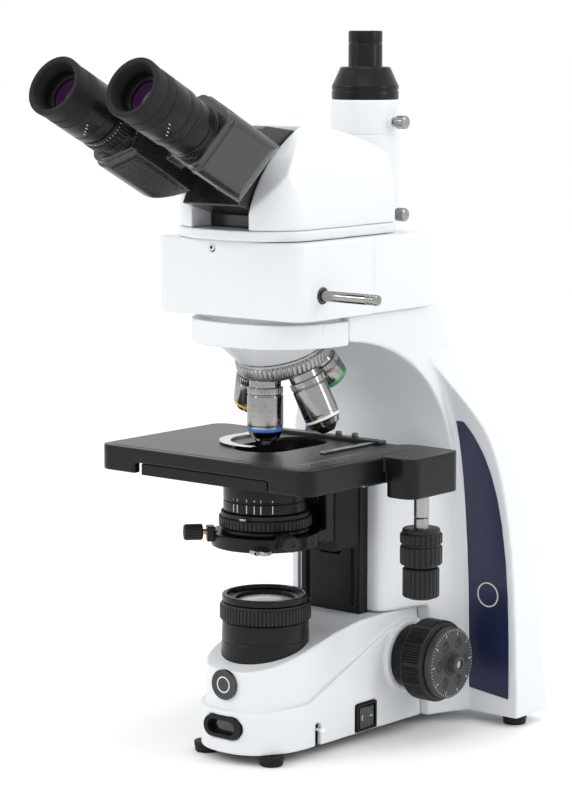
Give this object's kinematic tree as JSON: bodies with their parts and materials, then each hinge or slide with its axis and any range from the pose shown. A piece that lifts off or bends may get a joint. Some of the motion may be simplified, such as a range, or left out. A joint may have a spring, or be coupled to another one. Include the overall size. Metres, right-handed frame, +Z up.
{
  "type": "trinocular compound microscope",
  "caption": "Upright trinocular light microscope with a tilted nosepiece, mechanical stage, condenser, lamp base and a hinged pair of eyepieces.",
  "frame": {"origin": "on the bench, under the middle of the footprint", "axes": "+Z up, the user sits at -Y, +X is the user's right"},
  "size_m": [0.2091, 0.358, 0.479],
  "materials": {
    "base_housing": "white enamel over cast metal, satin",
    "arm_housing": "white enamel over cast metal, satin",
    "bottom_plate": "satin black",
    "foot_pads": "matte black",
    "base_badge": "dark grey",
    "front_window": "matte black",
    "side_panels": "satin",
    "panel_rings": "white enamel over cast metal, satin",
    "field_lens_tube": "satin black",
    "field_lens": "polished",
    "field_iris_ring": "dark grey",
    "lamp_module": "machined",
    "collector_lens": "polished",
    "beam_mirror": "machined",
    "power_board": "matte",
    "power_inlet": "matte black",
    "switch_frame": "matte black",
    "power_rocker": "matte black",
    "brightness_lever": "white enamel over cast metal, satin",
    "focus_rail": "satin black",
    "coarse_shaft": "machined",
    "coarse_knobs": "dark grey",
    "fine_shaft": "machined",
    "fine_knobs": "fine texture",
    "tension_collar": "matte black",
    "focus_carriage": "satin black",
    "focus_rack": "machined",
    "stage_base": "satin black",
    "stage_plate": "satin black",
    "stage_guides": "machined",
    "slide_holder": "machined",
    "holder_finger": "machined",
    "stage_y_knob": "matte black",
    "stage_x_knob": "matte black",
    "condenser_carrier": "satin black",
    "condenser_body": "satin black",
    "condenser_lens": "polished",
    "iris_ring": "dark grey",
    "centring_screw_left": "dark grey",
    "centring_screw_right": "dark grey",
    "condenser_knob": "matte black",
    "nose_housing": "white enamel over cast metal, satin",
    "turret_ring": "machined",
    "objectives_rear": "machined",
    "objective_front": "machined",
    "module_box": "white enamel over cast metal, satin",
    "filter_slide": "satin black",
    "pull_rod": "machined",
    "head_base": "white enamel over cast metal, satin",
    "head_housing": "white enamel over cast metal, satin",
    "hinge_block": "satin black",
    "tube_housing_left": "satin black",
    "tube_housing_right": "satin black",
    "dioptre_ring": "matte black",
    "eyepiece_left": "matte black",
    "eyepiece_right": "matte black",
    "photo_tube": "white enamel over cast metal, satin",
    "camera_adapter": "satin black",
    "thumbscrew_upper": "machined",
    "thumbscrew_lower": "machined"
  },
  "bodies": {
    "stand": {"base_housing": "base_housing", "arm_housing": "arm_housing", "bottom_plate": "bottom_plate", "foot_pads": "foot_pads", "base_badge": "base_badge", "front_window": "front_window", "side_panels": "side_panels", "panel_rings": "panel_rings", "field_lens_tube": "field_lens_tube", "field_lens": "field_lens", "lamp_module": "lamp_module", "collector_lens": "collector_lens", "beam_mirror": "beam_mirror", "power_board": "power_board", "power_inlet": "power_inlet", "switch_frame": "switch_frame", "focus_rail": "focus_rail", "nose_housing": "nose_housing", "module_box": "module_box", "head_base": "head_base", "head_housing": "head_housing", "hinge_block": "hinge_block", "photo_tube": "photo_tube", "camera_adapter": "camera_adapter"},
    "power_switch": {"power_rocker": "power_rocker"},
    "brightness": {"brightness_lever": "brightness_lever"},
    "field_iris": {"field_iris_ring": "field_iris_ring"},
    "coarse_drive": {"coarse_shaft": "coarse_shaft", "coarse_knobs": "coarse_knobs"},
    "fine_drive": {"fine_shaft": "fine_shaft", "fine_knobs": "fine_knobs"},
    "tension": {"tension_collar": "tension_collar"},
    "carriage": {"focus_carriage": "focus_carriage", "focus_rack": "focus_rack", "stage_base": "stage_base"},
    "stage_y": {"stage_plate": "stage_plate", "stage_guides": "stage_guides"},
    "specimen_x": {"slide_holder": "slide_holder"},
    "finger": {"holder_finger": "holder_finger"},
    "y_knob": {"stage_y_knob": "stage_y_knob"},
    "x_knob": {"stage_x_knob": "stage_x_knob"},
    "condenser": {"condenser_carrier": "condenser_carrier", "condenser_body": "condenser_body", "condenser_lens": "condenser_lens"},
    "condenser_drive": {"condenser_knob": "condenser_knob"},
    "aperture_iris": {"iris_ring": "iris_ring"},
    "centring_left": {"centring_screw_left": "centring_screw_left"},
    "centring_right": {"centring_screw_right": "centring_screw_right"},
    "nosepiece": {"turret_ring": "turret_ring", "objective_front": "objective_front", "objectives_rear": "objectives_rear"},
    "filter": {"filter_slide": "filter_slide", "pull_rod": "pull_rod"},
    "tube_left": {"tube_housing_left": "tube_housing_left", "eyepiece_left": "eyepiece_left"},
    "tube_right": {"tube_housing_right": "tube_housing_right", "eyepiece_right": "eyepiece_right"},
    "dioptre": {"dioptre_ring": "dioptre_ring"},
    "screw_upper": {"thumbscrew_upper": "thumbscrew_upper"},
    "screw_lower": {"thumbscrew_lower": "thumbscrew_lower"}
  },
  "joints": [
    {"name": "switch_rock", "type": "hinge", "parent": "stand", "child": "power_switch", "pos_m": [0.0357, 0.05, 0.01775], "axis": [0, 0, 1], "range_deg": [-6, 0]},
    {"name": "brightness_slide", "type": "slide", "parent": "stand", "child": "brightness", "axis": [0, 0, 1], "range_m": [-0.008, 0]},
    {"name": "field_iris_turn", "type": "hinge", "parent": "stand", "child": "field_iris", "pos_m": [0, -0.008, 0.0965], "axis": [0, 0, 1], "range_deg": [-60, 60]},
    {"name": "coarse_turn", "type": "hinge", "parent": "stand", "child": "coarse_drive", "pos_m": [0, 0.094, 0.0525], "axis": [1, 0, 0], "range_deg": [0, 240]},
    {"name": "fine_turn", "type": "hinge", "parent": "stand", "child": "fine_drive", "pos_m": [0, 0.094, 0.0525], "axis": [1, 0, 0], "continuous": true},
    {"name": "tension_turn", "type": "hinge", "parent": "stand", "child": "tension", "pos_m": [0.0495, 0.094, 0.0525], "axis": [1, 0, 0], "range_deg": [-60, 60]},
    {"name": "focus_slide", "type": "slide", "parent": "stand", "child": "carriage", "axis": [0, 0, 1], "range_m": [-0.025, 0]},
    {"name": "stage_y_slide", "type": "slide", "parent": "carriage", "child": "stage_y", "axis": [0, 1, 0], "range_m": [-0.03, 0.002]},
    {"name": "specimen_slide", "type": "slide", "parent": "stage_y", "child": "specimen_x", "axis": [1, 0, 0], "range_m": [-0.025, 0.025]},
    {"name": "finger_turn", "type": "hinge", "parent": "specimen_x", "child": "finger", "pos_m": [-0.046, 0.04, 0.2068], "axis": [0, 0, 1], "range_deg": [-25, 0], "stiffness_Nm_per_rad": 0.02},
    {"name": "y_knob_turn", "type": "hinge", "parent": "stage_y", "child": "y_knob", "pos_m": [0.0935, 0.04, 0.142], "axis": [0, 0, 1], "range_deg": [-288, 20]},
    {"name": "x_knob_turn", "type": "hinge", "parent": "stage_y", "child": "x_knob", "pos_m": [0.0935, 0.04, 0.12], "axis": [0, 0, 1], "range_deg": [-240, 240]},
    {"name": "condenser_slide", "type": "slide", "parent": "carriage", "child": "condenser", "axis": [0, 0, 1], "range_m": [-0.008, 0]},
    {"name": "condenser_turn", "type": "hinge", "parent": "carriage", "child": "condenser_drive", "pos_m": [-0.045, 0.04, 0.15], "axis": [1, 0, 0], "range_deg": [-60, 0]},
    {"name": "aperture_turn", "type": "hinge", "parent": "condenser", "child": "aperture_iris", "pos_m": [0, -0.008, 0.159], "axis": [0, 0, 1], "range_deg": [-45, 45]},
    {"name": "centring_left_turn", "type": "hinge", "parent": "condenser", "child": "centring_left", "pos_m": [-0.03011, -0.04144, 0.15], "axis": [-0.6691, -0.7431, 0], "range_deg": [-180, 180]},
    {"name": "centring_right_turn", "type": "hinge", "parent": "condenser", "child": "centring_right", "pos_m": [0.03857, -0.03118, 0.15], "axis": [0.8572, -0.515, 0], "range_deg": [-180, 180]},
    {"name": "nosepiece_turn", "type": "hinge", "parent": "stand", "child": "nosepiece", "pos_m": [0, 0.0122, 0.25975], "axis": [0, -0.342, 0.9397], "continuous": true},
    {"name": "filter_slide_in", "type": "slide", "parent": "stand", "child": "filter", "axis": [1, 0, 0], "range_m": [-0.022, 0]},
    {"name": "tube_left_turn", "type": "hinge", "parent": "stand", "child": "tube_left", "pos_m": [0, -0.04697, 0.40089], "axis": [0, -0.891, 0.454], "range_deg": [-24, 20]},
    {"name": "tube_right_turn", "type": "hinge", "parent": "stand", "child": "tube_right", "pos_m": [0, -0.04697, 0.40089], "axis": [0, -0.891, 0.454], "range_deg": [-20, 24]},
    {"name": "dioptre_turn", "type": "hinge", "parent": "tube_left", "child": "dioptre", "pos_m": [-0.0325, -0.1255, 0.42407], "axis": [0, -0.891, 0.454], "range_deg": [-120, 120]},
    {"name": "screw_upper_turn", "type": "hinge", "parent": "stand", "child": "screw_upper", "pos_m": [0.03, 0.098, 0.4179], "axis": [1, 0, 0], "range_deg": [-180, 180]},
    {"name": "screw_lower_turn", "type": "hinge", "parent": "stand", "child": "screw_lower", "pos_m": [0.03, 0.098, 0.3556], "axis": [1, 0, 0], "range_deg": [-180, 180]}
  ],
  "couplings": [
    {"joint": "coarse_turn", "follows": "focus_slide", "rad_per_m": -166.67},
    {"joint": "y_knob_turn", "follows": "stage_y_slide", "rad_per_m": 166.67},
    {"joint": "x_knob_turn", "follows": "specimen_slide", "rad_per_m": 166.67},
    {"joint": "condenser_turn", "follows": "condenser_slide", "rad_per_m": 125},
    {"joint": "tube_right_turn", "follows": "tube_left_turn", "ratio": -1}
  ]
}
